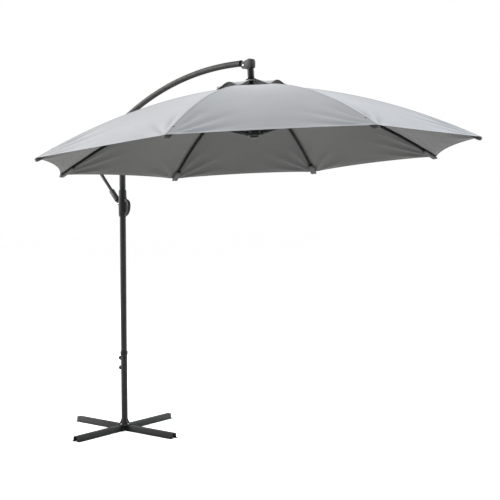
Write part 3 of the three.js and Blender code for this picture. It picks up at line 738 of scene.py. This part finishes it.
def tip_strap(number):
    """The short dark webbing loop where the rib enters its pocket."""
    angle = rib_angle(number)
    middle = RADIUS - STRAP_BACK
    low = cover_height(middle) - STRAP_DROP
    frame_of = TO_WORLD @ Matrix.Translation((middle * math.cos(angle), middle * math.sin(angle), low))
    step = 0.005
    slope = math.atan2(cover_height(middle - step) - cover_height(middle + step), 2 * step)
    frame_of = frame_of @ Matrix.Rotation(angle, 4, "Z") @ Matrix.Rotation(slope, 4, "Y")
    corners = 24
    verts, faces = [], []
    for x in (-STRAP_RUN, STRAP_RUN):
        for grow in (0.0, STRAP_THICK):
            for i in range(corners):
                a = 2 * math.pi * i / corners
                y = (STRAP_WIDE + grow) * math.copysign(abs(math.cos(a)) ** 0.5, math.cos(a))
                z = (STRAP_TALL + grow) * math.copysign(abs(math.sin(a)) ** 0.5, math.sin(a))
                verts.append(frame_of @ Vector((x, y, z)))
    inner0, outer0, inner1, outer1 = (k * corners for k in range(4))
    for i in range(corners):
        k = (i + 1) % corners
        faces.append((outer0 + i, outer1 + i, outer1 + k, outer0 + k))
        faces.append((inner0 + i, inner0 + k, inner1 + k, inner1 + i))
        faces.append((inner0 + i, outer0 + i, outer0 + k, inner0 + k))
        faces.append((inner1 + i, inner1 + k, outer1 + k, outer1 + i))
    return sharpen(mesh_piece(f"tip_strap_{number}", verts, faces, [STRAP], f"rib_{number}_body"))


def stretcher_rivet(number):
    angle = rib_angle(number)
    z = cover_height(STRETCHER_RIB) - RIB_BELOW - RIB_HEIGHT / 2 - STRETCHER_DROP
    place = TO_WORLD @ Matrix.Rotation(angle, 4, "Z") @ Matrix.Translation((STRETCHER_RIB, 0, z))
    place = place @ Matrix.Rotation(math.radians(90), 4, "X")
    head = [(0, RIVET_RISE), RIVET_CROWN, (RIVET_HEAD, RIVET_RIM), (RIVET_HEAD, 0), (RIVET_SHANK, 0)]
    profile = [(radius, -RIVET_HALF - past) for radius, past in head]
    profile += [(radius, RIVET_HALF + past) for radius, past in reversed(head)]
    return lathe(
        f"stretcher_rivet_{number}", profile, ZINC, f"rib_{number}_body", place, steps=20)


for number in range(1, RIB_COUNT + 1):
    tip_pocket(number)
    tip_strap(number)
    stretcher_rivet(number)

# ---------- studio ----------

FLOOR_HALF = 40.0
FLOOR_GLOW = 0.06
LIGHT_AIM = 0.2  # above the canopy's centre
floor_mesh = bpy.data.meshes.new("floor")
floor_mesh.from_pydata(
    [(-FLOOR_HALF, -FLOOR_HALF, 0), (FLOOR_HALF, -FLOOR_HALF, 0),
     (FLOOR_HALF, FLOOR_HALF, 0), (-FLOOR_HALF, FLOOR_HALF, 0)], [], [(0, 1, 2, 3)])
floor = bpy.data.objects.new("floor", floor_mesh)
bpy.context.scene.collection.objects.link(floor)
floor_mat, _, floor_shader = material("studio_floor", (0.93, 0.93, 0.93), roughness=0.9)
floor_shader.inputs["Emission Color"].default_value = (1, 1, 1, 1)
floor_shader.inputs["Emission Strength"].default_value = FLOOR_GLOW
floor_mesh.materials.append(floor_mat)

world = bpy.data.worlds.new("studio")
bpy.context.scene.world = world
world.use_nodes = True
background = world.node_tree.nodes["Background"]
background.inputs["Color"].default_value = (1.0, 1.0, 1.0, 1)
background.inputs["Strength"].default_value = 1.0
bpy.context.scene.view_settings.view_transform = "Standard"


def softbox(name, tint, azimuth, elevation, distance, size, power):
    data = bpy.data.lights.new(name, "AREA")
    data.energy = power
    data.color = tint
    data.size = size
    data.shape = "DISK"
    made = bpy.data.objects.new(name, data)
    bpy.context.scene.collection.objects.link(made)
    a, e = math.radians(azimuth), math.radians(elevation)
    way = Vector((math.cos(a) * math.cos(e), math.sin(a) * math.cos(e), math.sin(e)))
    target = CANOPY + Vector((0, 0, LIGHT_AIM))
    made.location = target + way * distance
    made.rotation_euler = way.to_track_quat("Z", "Y").to_euler()


softbox("left_soft", (1.03, 1.0, 0.965), azimuth=-149, elevation=16, distance=9.0, size=6.5, power=1530)
softbox("right_soft", (0.965, 1.0, 1.03), azimuth=76, elevation=16, distance=9.0, size=6.5, power=1360)

# ---------- camera ----------

yaw, pitch, roll = (math.radians(v) for v in (CAMERA_YAW, CAMERA_PITCH, CAMERA_ROLL))
forward = Vector((math.sin(yaw) * math.cos(pitch), math.cos(yaw) * math.cos(pitch), math.sin(pitch)))
level = Vector((math.cos(yaw), -math.sin(yaw), 0))
upward = level.cross(forward)
right = level * math.cos(roll) + upward * math.sin(roll)
up = upward * math.cos(roll) - level * math.sin(roll)
lens = bpy.data.cameras.new("camera")
lens.lens = CAMERA_LENS
lens.sensor_width = CAMERA_SENSOR
lens.clip_end = CAMERA_REACH
camera = bpy.data.objects.new("camera", lens)
bpy.context.scene.collection.objects.link(camera)
camera.matrix_world = Matrix((
    (right.x, up.x, -forward.x, CAMERA_PLACE[0]),
    (right.y, up.y, -forward.y, CAMERA_PLACE[1]),
    (right.z, up.z, -forward.z, CAMERA_PLACE[2]),
    (0, 0, 0, 1),
))
bpy.context.scene.camera = camera
